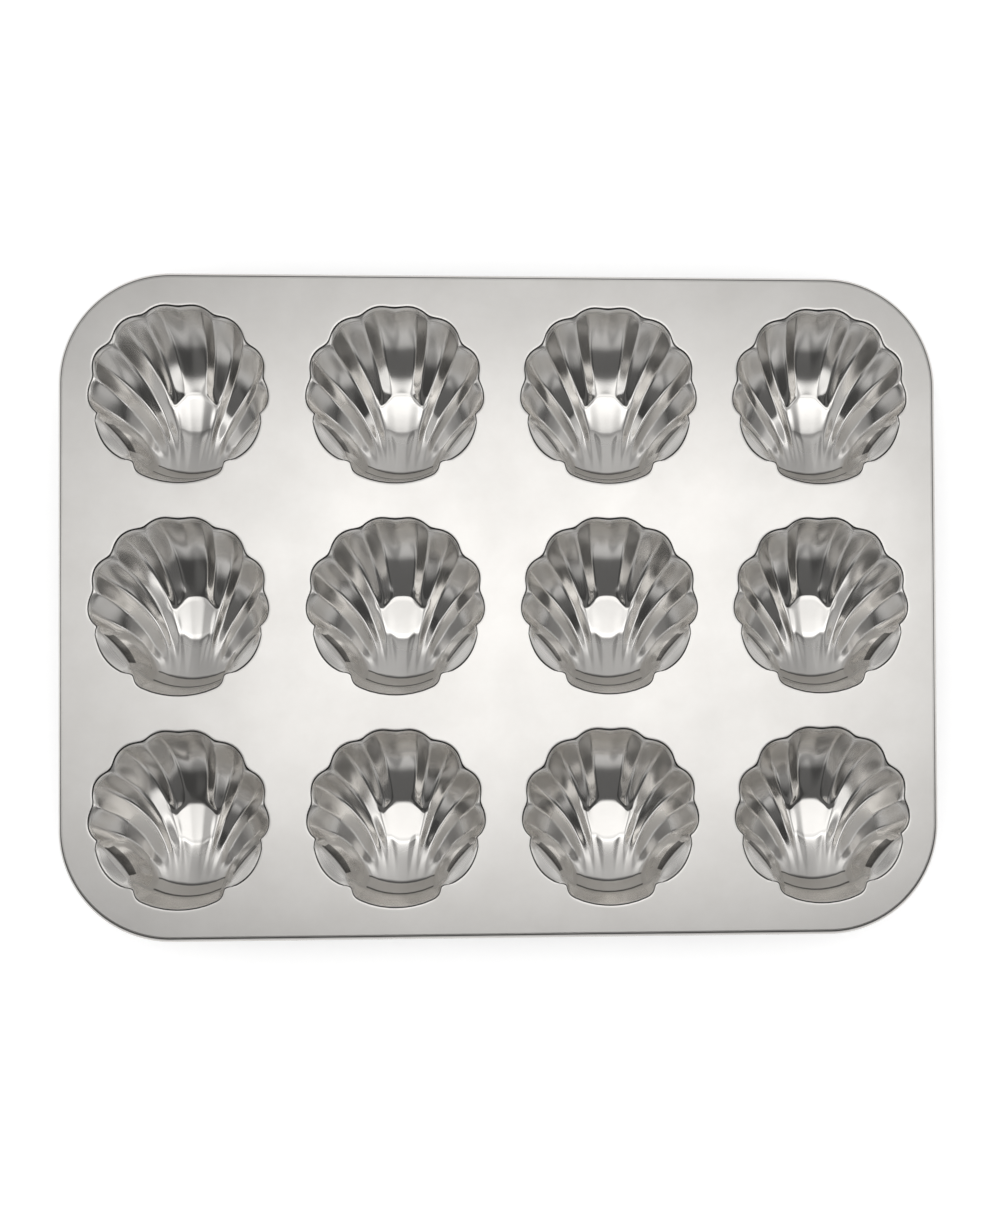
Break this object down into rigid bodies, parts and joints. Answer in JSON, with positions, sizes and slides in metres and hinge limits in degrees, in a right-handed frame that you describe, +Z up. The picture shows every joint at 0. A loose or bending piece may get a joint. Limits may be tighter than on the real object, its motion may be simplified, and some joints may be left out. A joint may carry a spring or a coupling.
{
  "type": "madeleine pan",
  "caption": "Shallow baking pan with rows of scallop-shell cups pressed in one sheet and a rolled wired edge, for small shell-shaped cakes.",
  "frame": {"origin": "under the middle of the pan, on the plane that the twelve cups rest on", "axes": "+X along the pan's long side, +Y from the hinge end of every shell cup to its fan end, +Z up out of the cups"},
  "size_m": [0.35, 0.265, 0.0213],
  "materials": {
    "sheet": "bright tinned steel, smooth, with faint baking marks",
    "wire": "drawn steel wire, hidden in the rolled edge"
  },
  "bodies": {
    "root": {"deck": "sheet", "cup_row1_column1": "sheet", "cup_row1_column2": "sheet", "cup_row1_column3": "sheet", "cup_row1_column4": "sheet", "cup_row2_column1": "sheet", "cup_row2_column2": "sheet", "cup_row2_column3": "sheet", "cup_row2_column4": "sheet", "cup_row3_column1": "sheet", "cup_row3_column2": "sheet", "cup_row3_column3": "sheet", "cup_row3_column4": "sheet", "rolled_edge": "sheet", "bead_wire": "wire"}
  },
  "joints": []
}
